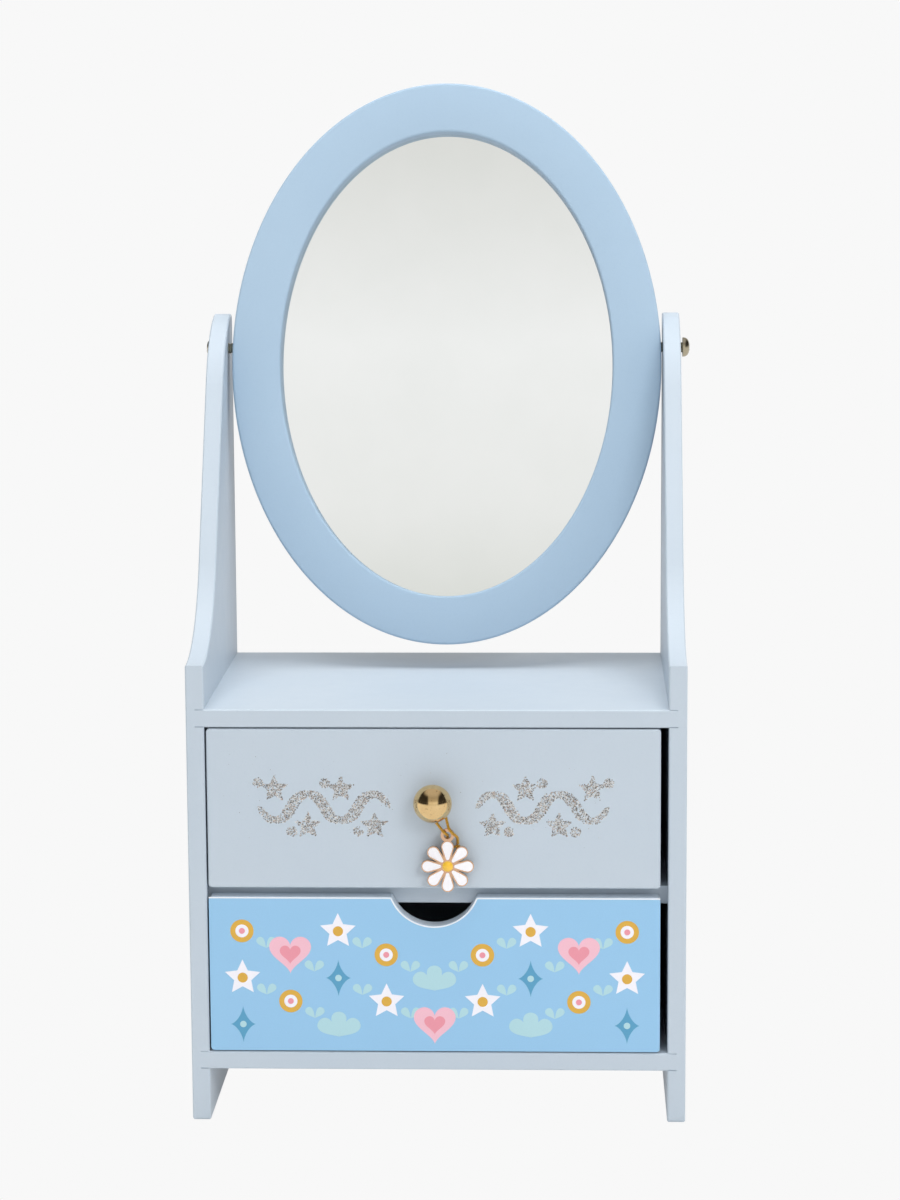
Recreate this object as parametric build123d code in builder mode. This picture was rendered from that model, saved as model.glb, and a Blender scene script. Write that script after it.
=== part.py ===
from build123d import *
from math import asin, atan2, cos, degrees, hypot, radians, sin, tan
import os

# A child's jewellery cabinet in painted fibreboard. Two drawers stand one above the other
# between two side panels, which rise behind as arms and carry an oval tilting mirror.
# Millimetres. +X is to the viewer's right, +Y to the back, +Z up. The origin is on the floor,
# under the middle of the whole object's length and width.

# Cabinet boards
clear_width = 153.0
cabinet_depth = 110.0
panel_thickness = 6.0
board_thickness = 6.0
back_thickness = 3.0
dado_depth = 3.0
plinth_height = 18.0
lower_bay_height = 49.8
upper_bay_height = 54.6
divider_set_back = 0.5
board_edge_chamfer = 0.4

# Side panels above the top board
shoulder_rise = 14.6
cove_radius = 50.0
crest_radius = 42.0
crest_above_pivot = 11.85
crest_beyond_back = 2.8
panel_foot_round = 1.5
panel_top_round = 3.0
panel_edge_chamfer = 0.4

# Mirror
mirror_height = 197.0
mirror_gap_left = 1.7
mirror_gap_right = 0.5
mirror_swing_gap = 6.8
mirror_band = 17.0
mirror_thickness = 9.0
mirror_tilt = 9.0
mirror_edge_chamfer = 0.6
pivot_above_centre = 6.0
pivot_from_back = 13.5
glass_thickness = 2.0
glass_lap = 3.0
glass_fit_gap = 0.3
backing_thickness = 2.0
backing_lap = 4.0

# Pivot screws, one through each arm
pivot_shank_radius = 1.95
pivot_running_gap = 0.08
pivot_head_radius = 3.4
pivot_head_height = 2.5
pivot_head_chamfer = 1.1
pivot_grip = 12.0
pivot_hole_spare = 0.6
left_screw_stand_off = 0.25
right_screw_stand_off = 0.9
left_seat_depth = 1.1
left_seat_gap = 0.3
screw_slot_length = 3.4
screw_slot_width = 0.8
screw_slot_depth = 1.1

# Drawers
drawer_gap_left = 0.6
drawer_gap_right = 2.6
front_gap = 0.5
front_thickness = 6.0
front_corner_round = 1.2
front_edge_chamfer = 0.4
lower_front_lap = 3.3
wall_thickness = 5.0
wall_inset = 0.4
wall_seat_depth = 2.0
wall_top_gap = 4.0
running_gap = 0.3
drawer_back_gap = 0.6
drawer_bottom_thickness = 3.0
drawer_bottom_rise = 3.0
drawer_bottom_groove = 2.5
print_thickness = 0.3

# Finger notch in the lower drawer's front
notch_radius = 15.0
notch_depth = 9.8
notch_lip_round = 0.8

# Knob on the upper drawer
knob_above_centre = 3.1
knob_head_radius = 6.35
knob_head_underside = 5.7
knob_rim_thickness = 0.9
knob_dome_height = 5.3
knob_neck_radius = 2.5
knob_flare = 1.0
knob_foot_radius = 3.75
knob_foot_thickness = 1.0
knob_screw_radius = 1.5
knob_screw_gap = 0.1
knob_screw_grip = 6.5
knob_screw_head_radius = 3.0
knob_screw_head_height = 1.9
knob_screw_head_chamfer = 0.6

# Charm: its bail's place from the knob's axis, then its own sizes
bail_right = 4.75
bail_below = 11.1
charm_from_face = 3.2
charm_thickness = 1.3
petal_count = 8
petal_root_radius = 0.9
petal_root_from_centre = 1.5
petal_tip_radius = 2.05
petal_tip_from_centre = 6.6
bail_above_centre = 10.5
bail_radius = 2.25
bail_hole_radius = 1.2
enamel_rim = 0.35
enamel_depth = 0.45
enamel_root_from_centre = 2.7
charm_centre_radius = 1.75
charm_centre_height = 0.9

# Thread loop: its points are measured from the knob's axis (right, out from the drawer, up)
thread_radius = 0.4
thread_sides = 6
loop_radius = 3.2
neck_first_corner = 181.8
neck_corner_step = 68.4
knot_right_of_bail = 3.3
knot_below_bail = 4.4
knot_out = 1.5
knot_width = 2.0
knot_height = 2.0
knot_thickness = 1.6
knot_round = 0.6
knot_tail_length = 2.0

# Places worked out from the sizes
half_clear = clear_width / 2
bottom_board_z = plinth_height
lower_bay_z = bottom_board_z + board_thickness
divider_z = lower_bay_z + lower_bay_height
upper_bay_z = divider_z + board_thickness
top_board_z = upper_bay_z + upper_bay_height
table_z = top_board_z + board_thickness

mirror_x = (mirror_gap_left - mirror_gap_right) / 2
half_mirror_width = (clear_width - mirror_gap_left - mirror_gap_right) / 2
half_mirror_height = mirror_height / 2
mirror_top_reach = half_mirror_height - pivot_above_centre
mirror_bottom_reach = half_mirror_height + pivot_above_centre
pivot_z = table_z + mirror_swing_gap + mirror_bottom_reach
crest_z = pivot_z + crest_above_pivot

knob_length = knob_head_underside + knob_rim_thickness + knob_dome_height
tilt = radians(mirror_tilt)
frame_edge_reach = mirror_top_reach * sin(tilt) + mirror_thickness / 2 * cos(tilt)
backing_inset = mirror_band - glass_lap - backing_lap
backing_top_reach = mirror_top_reach - backing_inset
backing_face = mirror_thickness / 2 + backing_thickness
backing_edge_reach = backing_top_reach * sin(tilt) + backing_face * cos(tilt)
mirror_back_reach = max(frame_edge_reach, backing_edge_reach)
back_reach = cabinet_depth - pivot_from_back + mirror_back_reach
front_y = (knob_length - back_reach) / 2
back_y = front_y + cabinet_depth
pivot_y = back_y - pivot_from_back
back_panel_y = back_y - back_thickness

front_width = clear_width - drawer_gap_left - drawer_gap_right
drawer_x = (drawer_gap_left - drawer_gap_right) / 2
box_width = front_width - 2 * wall_inset
box_front_y = front_y + front_thickness
box_back_y = back_panel_y - drawer_back_gap

upper_front_z = upper_bay_z + front_gap
upper_front_height = upper_bay_height - 2 * front_gap
lower_front_z = lower_bay_z + front_gap
lower_front_height = lower_bay_height - front_gap + lower_front_lap
knob_z = upper_front_z + upper_front_height / 2 + knob_above_centre

os.makedirs("parts", exist_ok=True)


def save(piece, name):
    """Labels one finished piece and writes it to its own file."""
    piece.part.label = name
    export_step(piece.part, f"parts/{name}.step")


def block(x_range, y_range, z_range, mode=Mode.ADD):
    """Adds or cuts a square-edged board, given its lowest and highest X, Y and Z."""
    corner = (x_range[0], y_range[0], z_range[0])
    size = [high - low for low, high in (x_range, y_range, z_range)]
    with Locations(corner):
        Box(*size, align=(Align.MIN, Align.MIN, Align.MIN), mode=mode)


def cap_arc(rim_radius, height, base):
    """Draws a round cap's profile on a section, from its rim at the base to its top."""
    sphere = (rim_radius**2 + height**2) / (2 * height)
    rim_angle = degrees(atan2(sphere - height, rim_radius))
    CenterArc((0, base + height - sphere), sphere, rim_angle, 90 - rim_angle)


# Side panels
# The profile stands on the floor, goes straight up the front to a shoulder, hollows into a
# cove, leans back in a straight line and rounds over a crest at the back edge.
shoulder_z = table_z + shoulder_rise
crest_y = back_y + crest_beyond_back
cove_to_crest = hypot(crest_y - front_y, crest_z - crest_radius - shoulder_z - cove_radius)
largest_radii = 0.85 * cove_to_crest
ease = min(1.0, largest_radii / (cove_radius + crest_radius))
cove = cove_radius * ease
crest = crest_radius * ease
rise = crest_z - crest - shoulder_z - cove
run = crest_y - front_y
lean = atan2(rise, run) + asin((cove + crest) / hypot(rise, run))
crest_start = (crest_y - crest * sin(lean), crest_z - crest + crest * cos(lean))
crest_turn = degrees(lean - asin(crest_beyond_back / crest))
outer_face = Plane.YZ.offset(-half_clear - panel_thickness)
inner_face = Plane.YZ.offset(-half_clear)

with BuildPart() as plain_panel:
    with BuildSketch(outer_face) as panel_profile:
        with BuildLine():
            front_edge = Line((front_y, 0), (front_y, shoulder_z))
            cove_arc = JernArc(front_edge @ 1, (1, 0), cove, degrees(lean))
            Line(cove_arc @ 1, crest_start)
            crest_arc = JernArc(crest_start, (cos(lean), sin(lean)), crest, -crest_turn)
            Polyline(crest_arc @ 1, (back_y, 0), (front_y, 0))
        make_face()
        fillet(panel_profile.vertices().group_by(Axis.Y)[0], panel_foot_round)
        fillet(panel_profile.vertices().sort_by(Axis.Y)[-1], panel_top_round)
    extrude(amount=panel_thickness)
    chamfer(plain_panel.faces().filter_by(Axis.X).edges(), panel_edge_chamfer)
    with BuildSketch(inner_face):
        for board_z in (bottom_board_z, top_board_z):
            with Locations((front_y, board_z)):
                Rectangle(cabinet_depth, board_thickness, align=(Align.MIN, Align.MIN))
        with Locations((box_front_y + divider_set_back, divider_z)):
            Rectangle(
                back_panel_y - box_front_y - divider_set_back,
                board_thickness,
                align=(Align.MIN, Align.MIN),
            )
    extrude(amount=-dado_depth, mode=Mode.SUBTRACT)
    with Locations(Plane(origin=(-half_clear, pivot_y, pivot_z), z_dir=(1, 0, 0))):
        Hole(pivot_shank_radius + pivot_running_gap)

with BuildPart() as side_panel_right:
    mirror(plain_panel.part, about=Plane.YZ)
save(side_panel_right, "side_panel_right")

# The left arm has a shallow round seat, where its screw's head sinks in.
with BuildPart() as side_panel_left:
    add(plain_panel.part)
    with BuildSketch(outer_face):
        with Locations((pivot_y, pivot_z)):
            Circle(pivot_head_radius + left_seat_gap)
    extrude(amount=left_seat_depth, mode=Mode.SUBTRACT)
save(side_panel_left, "side_panel_left")

# Boards housed in the side panels, and the back
housed = (-half_clear - dado_depth, half_clear + dado_depth)

with BuildPart() as bottom_board:
    block(housed, (front_y, back_y), (bottom_board_z, lower_bay_z))
    front_edges = bottom_board.faces().sort_by(Axis.Y)[0].edges().filter_by(Axis.X)
    chamfer(front_edges, board_edge_chamfer)
save(bottom_board, "bottom_board")

with BuildPart() as divider_shelf:
    block(housed, (box_front_y + divider_set_back, back_panel_y), (divider_z, upper_bay_z))
save(divider_shelf, "divider_shelf")

with BuildPart() as top_board:
    block(housed, (front_y, back_y), (top_board_z, table_z))
    front_edges = top_board.faces().sort_by(Axis.Y)[0].edges().filter_by(Axis.X)
    chamfer(front_edges, board_edge_chamfer)
save(top_board, "top_board")

with BuildPart() as back_panel:
    block((-half_clear, half_clear), (back_panel_y, back_y), (lower_bay_z, top_board_z))
save(back_panel, "back_panel")

# Drawers
# Each has a front with rabbets for its walls, two side walls, a back wall between them, and a
# bottom let into a groove all round.
front_plane = Plane.XZ.offset(-front_y)
box_left = drawer_x - box_width / 2
box_right = drawer_x + box_width / 2
bottom_rim = wall_thickness - drawer_bottom_groove


def front_outline(low_z, height, notched):
    """Draws a drawer front's outline, with the finger notch if it has one."""
    with Locations((drawer_x, low_z + height / 2)):
        RectangleRounded(front_width, height, front_corner_round)
    if notched:
        top_z = low_z + height
        with Locations((drawer_x, top_z - notch_depth + notch_radius)):
            Circle(notch_radius, mode=Mode.SUBTRACT)


def drawer_walls(name, bay_z, bay_height):
    """Makes a drawer's two side walls, its back wall and its bottom."""
    low_z = bay_z + running_gap
    high_z = bay_z + bay_height - wall_top_gap
    seat_y = box_front_y - wall_seat_depth
    bottom_z = low_z + drawer_bottom_rise
    groove = (bottom_z, bottom_z + drawer_bottom_thickness)
    with BuildPart() as side_left:
        block((box_left, box_left + wall_thickness), (seat_y, box_back_y), (low_z, high_z))
        block(
            (box_left + bottom_rim, box_left + wall_thickness),
            (seat_y, box_back_y),
            groove,
            Mode.SUBTRACT,
        )
    save(side_left, f"{name}_side_left")
    with BuildPart() as side_right:
        mirror(side_left.part, about=Plane.YZ.offset(drawer_x))
    save(side_right, f"{name}_side_right")
    back_inner_y = box_back_y - wall_thickness
    inside = (box_left + wall_thickness, box_right - wall_thickness)
    with BuildPart() as back:
        block(inside, (back_inner_y, box_back_y), (low_z, high_z))
        block(inside, (back_inner_y, box_back_y - bottom_rim), groove, Mode.SUBTRACT)
    save(back, f"{name}_back")
    with BuildPart() as bottom:
        block(
            (box_left + bottom_rim, box_right - bottom_rim),
            (box_front_y - drawer_bottom_groove, box_back_y - bottom_rim),
            groove,
        )
    save(bottom, f"{name}_bottom")


def cut_wall_seats(bay_z, bay_height):
    """Cuts the rabbets for the side walls and the groove for the bottom in a drawer front."""
    low_z = bay_z + running_gap
    high_z = bay_z + bay_height - wall_top_gap
    seat = (box_front_y - wall_seat_depth, box_front_y)
    past_end = front_width / 2 + 1
    for x_range in (
        (drawer_x - past_end, box_left + wall_thickness),
        (box_right - wall_thickness, drawer_x + past_end),
    ):
        block(x_range, seat, (low_z, high_z), Mode.SUBTRACT)
    bottom_z = low_z + drawer_bottom_rise
    block(
        (box_left + bottom_rim, box_right - bottom_rim),
        (box_front_y - drawer_bottom_groove, box_front_y),
        (bottom_z, bottom_z + drawer_bottom_thickness),
        Mode.SUBTRACT,
    )


# Upper drawer
with BuildPart() as upper_drawer_front:
    with BuildSketch(front_plane):
        front_outline(upper_front_z, upper_front_height, notched=False)
    extrude(amount=-front_thickness)
    chamfer(upper_drawer_front.faces().sort_by(Axis.Y)[0].edges(), front_edge_chamfer)
    cut_wall_seats(upper_bay_z, upper_bay_height)
    with Locations(Plane(origin=(drawer_x, front_y, knob_z), z_dir=(0, -1, 0))):
        Hole(knob_screw_radius + knob_screw_gap)
save(upper_drawer_front, "upper_drawer_front")
drawer_walls("upper_drawer", upper_bay_z, upper_bay_height)

# Lower drawer
with BuildPart() as lower_drawer_front:
    with BuildSketch(front_plane.offset(-print_thickness)) as notched_outline:
        front_outline(lower_front_z, lower_front_height, notched=True)
        lips = notched_outline.vertices().group_by(Axis.Y)[-1].sort_by(Axis.X)[1:3]
        fillet(lips, notch_lip_round)
    extrude(amount=-(front_thickness - print_thickness))
    cut_wall_seats(lower_bay_z, lower_bay_height)
save(lower_drawer_front, "lower_drawer_front")
drawer_walls("lower_drawer", lower_bay_z, lower_bay_height)

with BuildPart() as lower_drawer_print:
    extrude(notched_outline.sketch, amount=print_thickness)
save(lower_drawer_print, "lower_drawer_print")

# Knob, turned in brass, and the screw that holds it from inside the drawer
knob_centre = (drawer_x, front_y, knob_z)
knob_section = Plane(origin=knob_centre, x_dir=(1, 0, 0), z_dir=(0, 0, -1))
knob_axis = Axis(knob_centre, (0, -1, 0))
rim_front = knob_head_underside + knob_rim_thickness

with BuildPart() as drawer_knob:
    with BuildSketch(knob_section):
        with BuildLine():
            Polyline(
                (0, knob_length),
                (0, 0),
                (knob_foot_radius, 0),
                (knob_foot_radius, knob_foot_thickness),
                (knob_neck_radius, knob_foot_thickness),
                (knob_neck_radius, knob_head_underside - knob_flare),
                (knob_head_radius, knob_head_underside),
                (knob_head_radius, rim_front),
            )
            cap_arc(knob_head_radius, knob_dome_height, rim_front)
        make_face()
    revolve(axis=knob_axis)
    with Locations(Plane(origin=knob_centre, z_dir=(0, 1, 0))):
        Hole(knob_screw_radius, depth=knob_screw_grip)
save(drawer_knob, "drawer_knob")

with BuildPart() as knob_screw:
    with BuildSketch(Plane.XZ.offset(-box_front_y)):
        with Locations((drawer_x, knob_z)):
            Circle(knob_screw_head_radius)
    extrude(amount=-knob_screw_head_height)
    chamfer(knob_screw.edges().group_by(Axis.Y)[-1], knob_screw_head_chamfer)
    with BuildSketch(Plane.XZ.offset(-box_front_y)):
        with Locations((drawer_x, knob_z)):
            Circle(knob_screw_radius)
    extrude(amount=front_thickness + knob_screw_grip)
    with BuildSketch(Plane.XZ.offset(-box_front_y - knob_screw_head_height)):
        with Locations((drawer_x, knob_z)):
            Rectangle(screw_slot_length, screw_slot_width)
            Rectangle(screw_slot_width, screw_slot_length)
    extrude(amount=screw_slot_depth, mode=Mode.SUBTRACT)
save(knob_screw, "knob_screw")

# Mirror
# The frame's middle plane passes through the pivot axis and leans back by the tilt.
mirror_normal = (0, -cos(tilt), sin(tilt))
mirror_centre = (mirror_x, pivot_y, pivot_z)
mirror_plane = Plane(origin=mirror_centre, x_dir=(1, 0, 0), z_dir=mirror_normal)
frame_front = mirror_plane.offset(mirror_thickness / 2)
frame_rear = mirror_plane.offset(-mirror_thickness / 2)
oval_centre = (0, -pivot_above_centre)


def oval(inset, mode=Mode.ADD):
    """Draws the mirror's oval, drawn in by the given width."""
    with Locations(oval_centre):
        Ellipse(half_mirror_width - inset, half_mirror_height - inset, mode=mode)


with BuildPart() as mirror_frame:
    with BuildSketch(frame_front):
        oval(0)
        oval(mirror_band, Mode.SUBTRACT)
    extrude(amount=-mirror_thickness)
    front_face = mirror_frame.faces().filter_by(GeomType.PLANE).sort_by(Axis.Y)[0]
    chamfer(front_face.edges(), mirror_edge_chamfer)
    with BuildSketch(frame_rear):
        oval(mirror_band - glass_lap)
    extrude(amount=glass_thickness, mode=Mode.SUBTRACT)
    for side in (-1, 1):
        entry = (mirror_x + side * half_mirror_width, pivot_y, pivot_z)
        with Locations(Plane(origin=entry, z_dir=(side, 0, 0))):
            Hole(pivot_shank_radius, depth=pivot_grip + pivot_hole_spare)
save(mirror_frame, "mirror_frame")

with BuildPart() as mirror_glass:
    with BuildSketch(frame_rear):
        oval(mirror_band - glass_lap + glass_fit_gap)
    extrude(amount=glass_thickness)
save(mirror_glass, "mirror_glass")

with BuildPart() as mirror_backing:
    with BuildSketch(frame_rear):
        oval(backing_inset)
    extrude(amount=-backing_thickness)
save(mirror_backing, "mirror_backing")


# Pivot screws
def pivot_screw(name, side, head_x):
    """Makes the pan-head screw through one arm; side is -1 on the left and 1 on the right."""
    tip_x = half_mirror_width + side * mirror_x - pivot_grip
    seat = Plane(origin=(side * head_x, pivot_y, pivot_z), z_dir=(side, 0, 0))
    with BuildPart() as screw:
        with BuildSketch(seat):
            Circle(pivot_head_radius)
        extrude(amount=pivot_head_height)
        rim = screw.edges().filter_by(GeomType.CIRCLE).sort_by(Axis.X, reverse=side < 0)[-1]
        chamfer(rim, pivot_head_chamfer)
        with BuildSketch(seat):
            Circle(pivot_shank_radius)
        extrude(amount=tip_x - head_x)
        with BuildSketch(seat.offset(pivot_head_height)):
            Rectangle(screw_slot_length, screw_slot_width)
            Rectangle(screw_slot_width, screw_slot_length)
        extrude(amount=-screw_slot_depth, mode=Mode.SUBTRACT)
    save(screw, name)


arm_outside = half_clear + panel_thickness
pivot_screw("pivot_screw_left", -1, arm_outside - left_seat_depth + left_screw_stand_off)
pivot_screw("pivot_screw_right", 1, arm_outside + right_screw_stand_off)

# Charm: a gilt plate with eight petals and a bail, enamelled in its cells
bail_x = drawer_x + bail_right
bail_z = knob_z - bail_below
charm_y = front_y - charm_from_face
charm_z = bail_z - bail_above_centre
charm_middle = Plane(origin=(bail_x, charm_y, charm_z), x_dir=(1, 0, 0), z_dir=(0, -1, 0))
charm_front = charm_middle.offset(charm_thickness / 2)


def petals(root_from_centre, inset):
    """Draws the ring of petals, each a round tip tapering to a root, drawn in by the inset."""
    root = petal_root_radius - inset
    tip = petal_tip_radius - inset
    taper = asin((tip - root) / (petal_tip_from_centre - root_from_centre))
    near = (root_from_centre - root * sin(taper), root * cos(taper))
    far = (petal_tip_from_centre - tip * sin(taper), tip * cos(taper))
    with PolarLocations(0, petal_count):
        Polygon(near, far, (far[0], -far[1]), (near[0], -near[1]), align=None)
    with PolarLocations(root_from_centre, petal_count):
        Circle(root)
    with PolarLocations(petal_tip_from_centre, petal_count):
        Circle(tip)


with BuildPart() as charm_plate:
    with BuildSketch(charm_front):
        petals(petal_root_from_centre, 0)
        Circle(enamel_root_from_centre)
        with Locations((0, bail_above_centre)):
            Circle(bail_radius)
            Circle(bail_hole_radius, mode=Mode.SUBTRACT)
    extrude(amount=-charm_thickness)
    with BuildSketch(charm_front):
        petals(enamel_root_from_centre, enamel_rim)
    extrude(amount=-enamel_depth, mode=Mode.SUBTRACT)
save(charm_plate, "charm_plate")

with BuildPart() as charm_petals:
    with BuildSketch(charm_front):
        petals(enamel_root_from_centre, enamel_rim)
    extrude(amount=-enamel_depth)
save(charm_petals, "charm_petals")

with BuildPart() as charm_centre:
    with BuildSketch(Plane(origin=charm_front.origin, x_dir=(1, 0, 0), z_dir=(0, 0, -1))):
        with BuildLine():
            Polyline((0, charm_centre_height), (0, 0), (charm_centre_radius, 0))
            cap_arc(charm_centre_radius, charm_centre_height, 0)
        make_face()
    revolve(axis=Axis(charm_front.origin, (0, -1, 0)))
save(charm_centre, "charm_centre")

# Thread loop
# It leaves the knot's side, passes behind the bail and forward through it, up round the knob's
# neck, down past the bail's right rim and back into the top of the knot.
knot_right = bail_right + knot_right_of_bail
knot_up = -bail_below - knot_below_bail
knot_top = knot_up + knot_height / 2
neck_corner = loop_radius / cos(radians(neck_corner_step / 2))
around_neck = [
    (neck_corner * cos(radians(angle)), charm_from_face, neck_corner * sin(radians(angle)))
    for angle in (neck_first_corner - neck_corner_step * count for count in range(3))
]
thread_points = [
    (knot_right - knot_width / 2, knot_out, knot_up),
    (bail_right + 0.25, knot_out, knot_up),
    (bail_right - 0.15, 1.6, -bail_below - 2.3),
    (bail_right, 1.75, -bail_below - 0.2),
    (bail_right - 0.1, 4.6, -bail_below + 0.1),
    (bail_right - 2.35, 4.45, -bail_below + 2.6),
    *around_neck,
    (bail_right - 0.2, 3.5, -bail_below + 4.5),
    (bail_right + 1.0, 4.7, -bail_below + 1.5),
    (knot_right, 4.0, -bail_below - 0.2),
    (knot_right, knot_out, knot_top + 1.6),
    (knot_right, knot_out, knot_top),
]
route = [Vector(drawer_x + r, front_y - o, knob_z + u) for r, o, u in thread_points]


def bend_radii(points):
    """Gives each corner the largest arc that its two runs leave room for."""
    radii = []
    for before, corner, after in zip(points, points[1:], points[2:]):
        shorter = min((corner - before).length, (after - corner).length)
        turn = radians((corner - before).get_angle(after - corner))
        radii.append(0.45 * shorter / tan(turn / 2))
    return radii


thread_radii = bend_radii(route)
with BuildPart() as charm_cord:
    with BuildLine() as thread_line:
        FilletPolyline(*route, radius=thread_radii)
    thread = thread_line.wire()
    with BuildSketch(Plane(origin=thread @ 0, z_dir=thread % 0)) as thread_section:
        RegularPolygon(thread_radius, thread_sides)
    sweep(path=thread)
save(charm_cord, "charm_cord")

thread_volume = thread_section.sketch.area * thread.length
print("thread bend radii", [round(r, 2) for r in thread_radii])
print("thread length", round(thread.length, 2))
print("tube over section times length", round(charm_cord.part.volume / thread_volume, 4))

with BuildPart() as cord_knot:
    knot_place = (drawer_x + knot_right, front_y - knot_out, knob_z + knot_up)
    with Locations(knot_place):
        Box(knot_width, knot_thickness, knot_height)
    fillet(cord_knot.edges().filter_by(Axis.Y), knot_round)
    with BuildSketch(Plane(origin=knot_place)):
        Circle(thread_radius)
    extrude(amount=-knot_height / 2 - knot_tail_length)
save(cord_knot, "cord_knot")
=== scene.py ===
from math import asin, cos, hypot, pi, radians, sin, sqrt, tau
from random import Random

import bmesh
import bpy
from mathutils import Matrix, Vector


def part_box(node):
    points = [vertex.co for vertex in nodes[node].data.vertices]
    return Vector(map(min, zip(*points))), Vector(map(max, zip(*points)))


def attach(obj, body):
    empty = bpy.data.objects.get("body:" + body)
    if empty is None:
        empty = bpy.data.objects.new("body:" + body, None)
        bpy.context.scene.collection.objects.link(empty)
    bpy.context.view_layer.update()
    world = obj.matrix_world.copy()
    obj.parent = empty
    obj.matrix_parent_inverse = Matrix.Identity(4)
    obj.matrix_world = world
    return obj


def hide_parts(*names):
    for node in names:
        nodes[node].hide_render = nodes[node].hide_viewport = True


# A child's jewellery cabinet in pale blue paint, with an oval tilting mirror, a brass knob and
# an enamel daisy charm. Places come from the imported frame, in metres.
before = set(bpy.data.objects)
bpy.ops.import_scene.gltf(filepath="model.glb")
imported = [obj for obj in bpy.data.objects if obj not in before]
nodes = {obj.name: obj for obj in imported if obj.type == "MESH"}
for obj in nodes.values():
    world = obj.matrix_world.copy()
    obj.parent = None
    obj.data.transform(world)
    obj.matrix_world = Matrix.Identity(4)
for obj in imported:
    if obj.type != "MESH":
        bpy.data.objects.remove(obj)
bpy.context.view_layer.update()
MM = 0.001
RIGHT = Vector((1, 0, 0))
OUT = Vector((0, -1, 0))
UP = Vector((0, 0, 1))

# Places read from the frame
front_low, front_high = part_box("upper_drawer_front")
print_low, print_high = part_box("lower_drawer_print")
knob_low, knob_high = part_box("drawer_knob")
oval_low, oval_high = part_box("mirror_frame")
screw_low, screw_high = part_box("pivot_screw_right")
drawer_face_y = front_low.y
print_face_y = print_low.y
drawer_x = (front_low.x + front_high.x) / 2
knob_z = (knob_low.z + knob_high.z) / 2
pivot_y = (screw_low.y + screw_high.y) / 2
pivot_z = (screw_low.z + screw_high.z) / 2
print_height = (print_high.z - print_low.z) / MM
print_half_width = (print_high.x - print_low.x) / 2 / MM


def link(name, mesh, body):
    """Adds a mesh to the scene as a piece that rides on a CAD body."""
    piece = bpy.data.objects.new(name, mesh)
    bpy.context.scene.collection.objects.link(piece)
    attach(piece, body)
    return piece


def make_mesh(name, points, faces, materials, angle=radians(40)):
    """Makes a mesh with its faces turned outwards, shaded smooth but for its sharp edges."""
    mesh = bpy.data.meshes.new(name)
    mesh.from_pydata([tuple(point) for point in points], [], faces)
    for material in materials:
        mesh.materials.append(material)
    shell = bmesh.new()
    shell.from_mesh(mesh)
    bmesh.ops.recalc_face_normals(shell, faces=shell.faces)
    shell.to_mesh(mesh)
    shell.free()
    mesh.shade_smooth()
    mesh.set_sharp_from_angle(angle=angle)
    return mesh


def skin(ring_count, ring_size, closes, first=0):
    """Joins rings of points into faces. The last ring joins the first one, or both are capped."""
    faces = []
    for ring in range(ring_count if closes else ring_count - 1):
        here = first + ring * ring_size
        there = first + (ring + 1) % ring_count * ring_size
        for step in range(ring_size):
            after = (step + 1) % ring_size
            faces.append((here + step, here + after, there + after, there + step))
    if not closes:
        last = first + (ring_count - 1) * ring_size
        faces.append(tuple(range(first, first + ring_size)))
        faces.append(tuple(range(last, last + ring_size)))
    return faces


# Materials
def srgb(red, green, blue):
    """Turns a colour as seen on a screen, from 0 to 255, into the linear one that nodes use."""
    channels = []
    for value in (red / 255, green / 255, blue / 255):
        low = value / 12.92
        high = ((value + 0.055) / 1.055) ** 2.4
        channels.append(low if value <= 0.04045 else high)
    return (*channels, 1.0)


def new_material(name, color, roughness, metallic=0.0):
    """Starts a material, and returns it with its node tree, shader and object coordinates."""
    material = bpy.data.materials.new(name)
    material.use_nodes = True
    tree = material.node_tree
    shader = tree.nodes["Principled BSDF"]
    shader.inputs["Base Color"].default_value = color
    shader.inputs["Roughness"].default_value = roughness
    shader.inputs["Metallic"].default_value = metallic
    place = tree.nodes.new("ShaderNodeTexCoord").outputs["Object"]
    return material, tree, shader, place


def stretched(tree, place, scale):
    """Scales coordinates by a different amount along each axis."""
    mapping = tree.nodes.new("ShaderNodeMapping")
    mapping.inputs["Scale"].default_value = scale
    tree.links.new(place, mapping.inputs["Vector"])
    return mapping.outputs["Vector"]


def noise(tree, place, size, detail=3.0):
    """Noise whose features are about the given size in metres."""
    texture = tree.nodes.new("ShaderNodeTexNoise")
    texture.inputs["Scale"].default_value = 1 / size
    texture.inputs["Detail"].default_value = detail
    tree.links.new(place, texture.inputs["Vector"])
    return texture.outputs["Fac"]


def ramp(tree, factor, stops):
    """Maps a value to colours, given as pairs of position and colour."""
    node = tree.nodes.new("ShaderNodeValToRGB")
    elements = node.color_ramp.elements
    while len(elements) < len(stops):
        elements.new(0.5)
    for element, (position, color) in zip(elements, stops):
        element.position = position
        element.color = color
    tree.links.new(factor, node.inputs["Fac"])
    return node.outputs["Color"]


def mixed(tree, factor, first, second, blend="MIX"):
    """Mixes two colours, each a socket or a value, by a factor."""
    node = tree.nodes.new("ShaderNodeMix")
    node.data_type = "RGBA"
    node.blend_type = blend
    for socket, value in (
        (node.inputs["Factor"], factor),
        (node.inputs["A"], first),
        (node.inputs["B"], second),
    ):
        if isinstance(value, (tuple, float)):
            socket.default_value = value
        else:
            tree.links.new(value, socket)
    return node.outputs["Result"]


def span(tree, value, low, high, start=0.0, end=1.0):
    """Spreads a value's stretch from start to end over the range from low to high."""
    node = tree.nodes.new("ShaderNodeMapRange")
    node.inputs["From Min"].default_value = start
    node.inputs["From Max"].default_value = end
    node.inputs["To Min"].default_value = low
    node.inputs["To Max"].default_value = high
    tree.links.new(value, node.inputs["Value"])
    return node.outputs["Result"]


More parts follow.
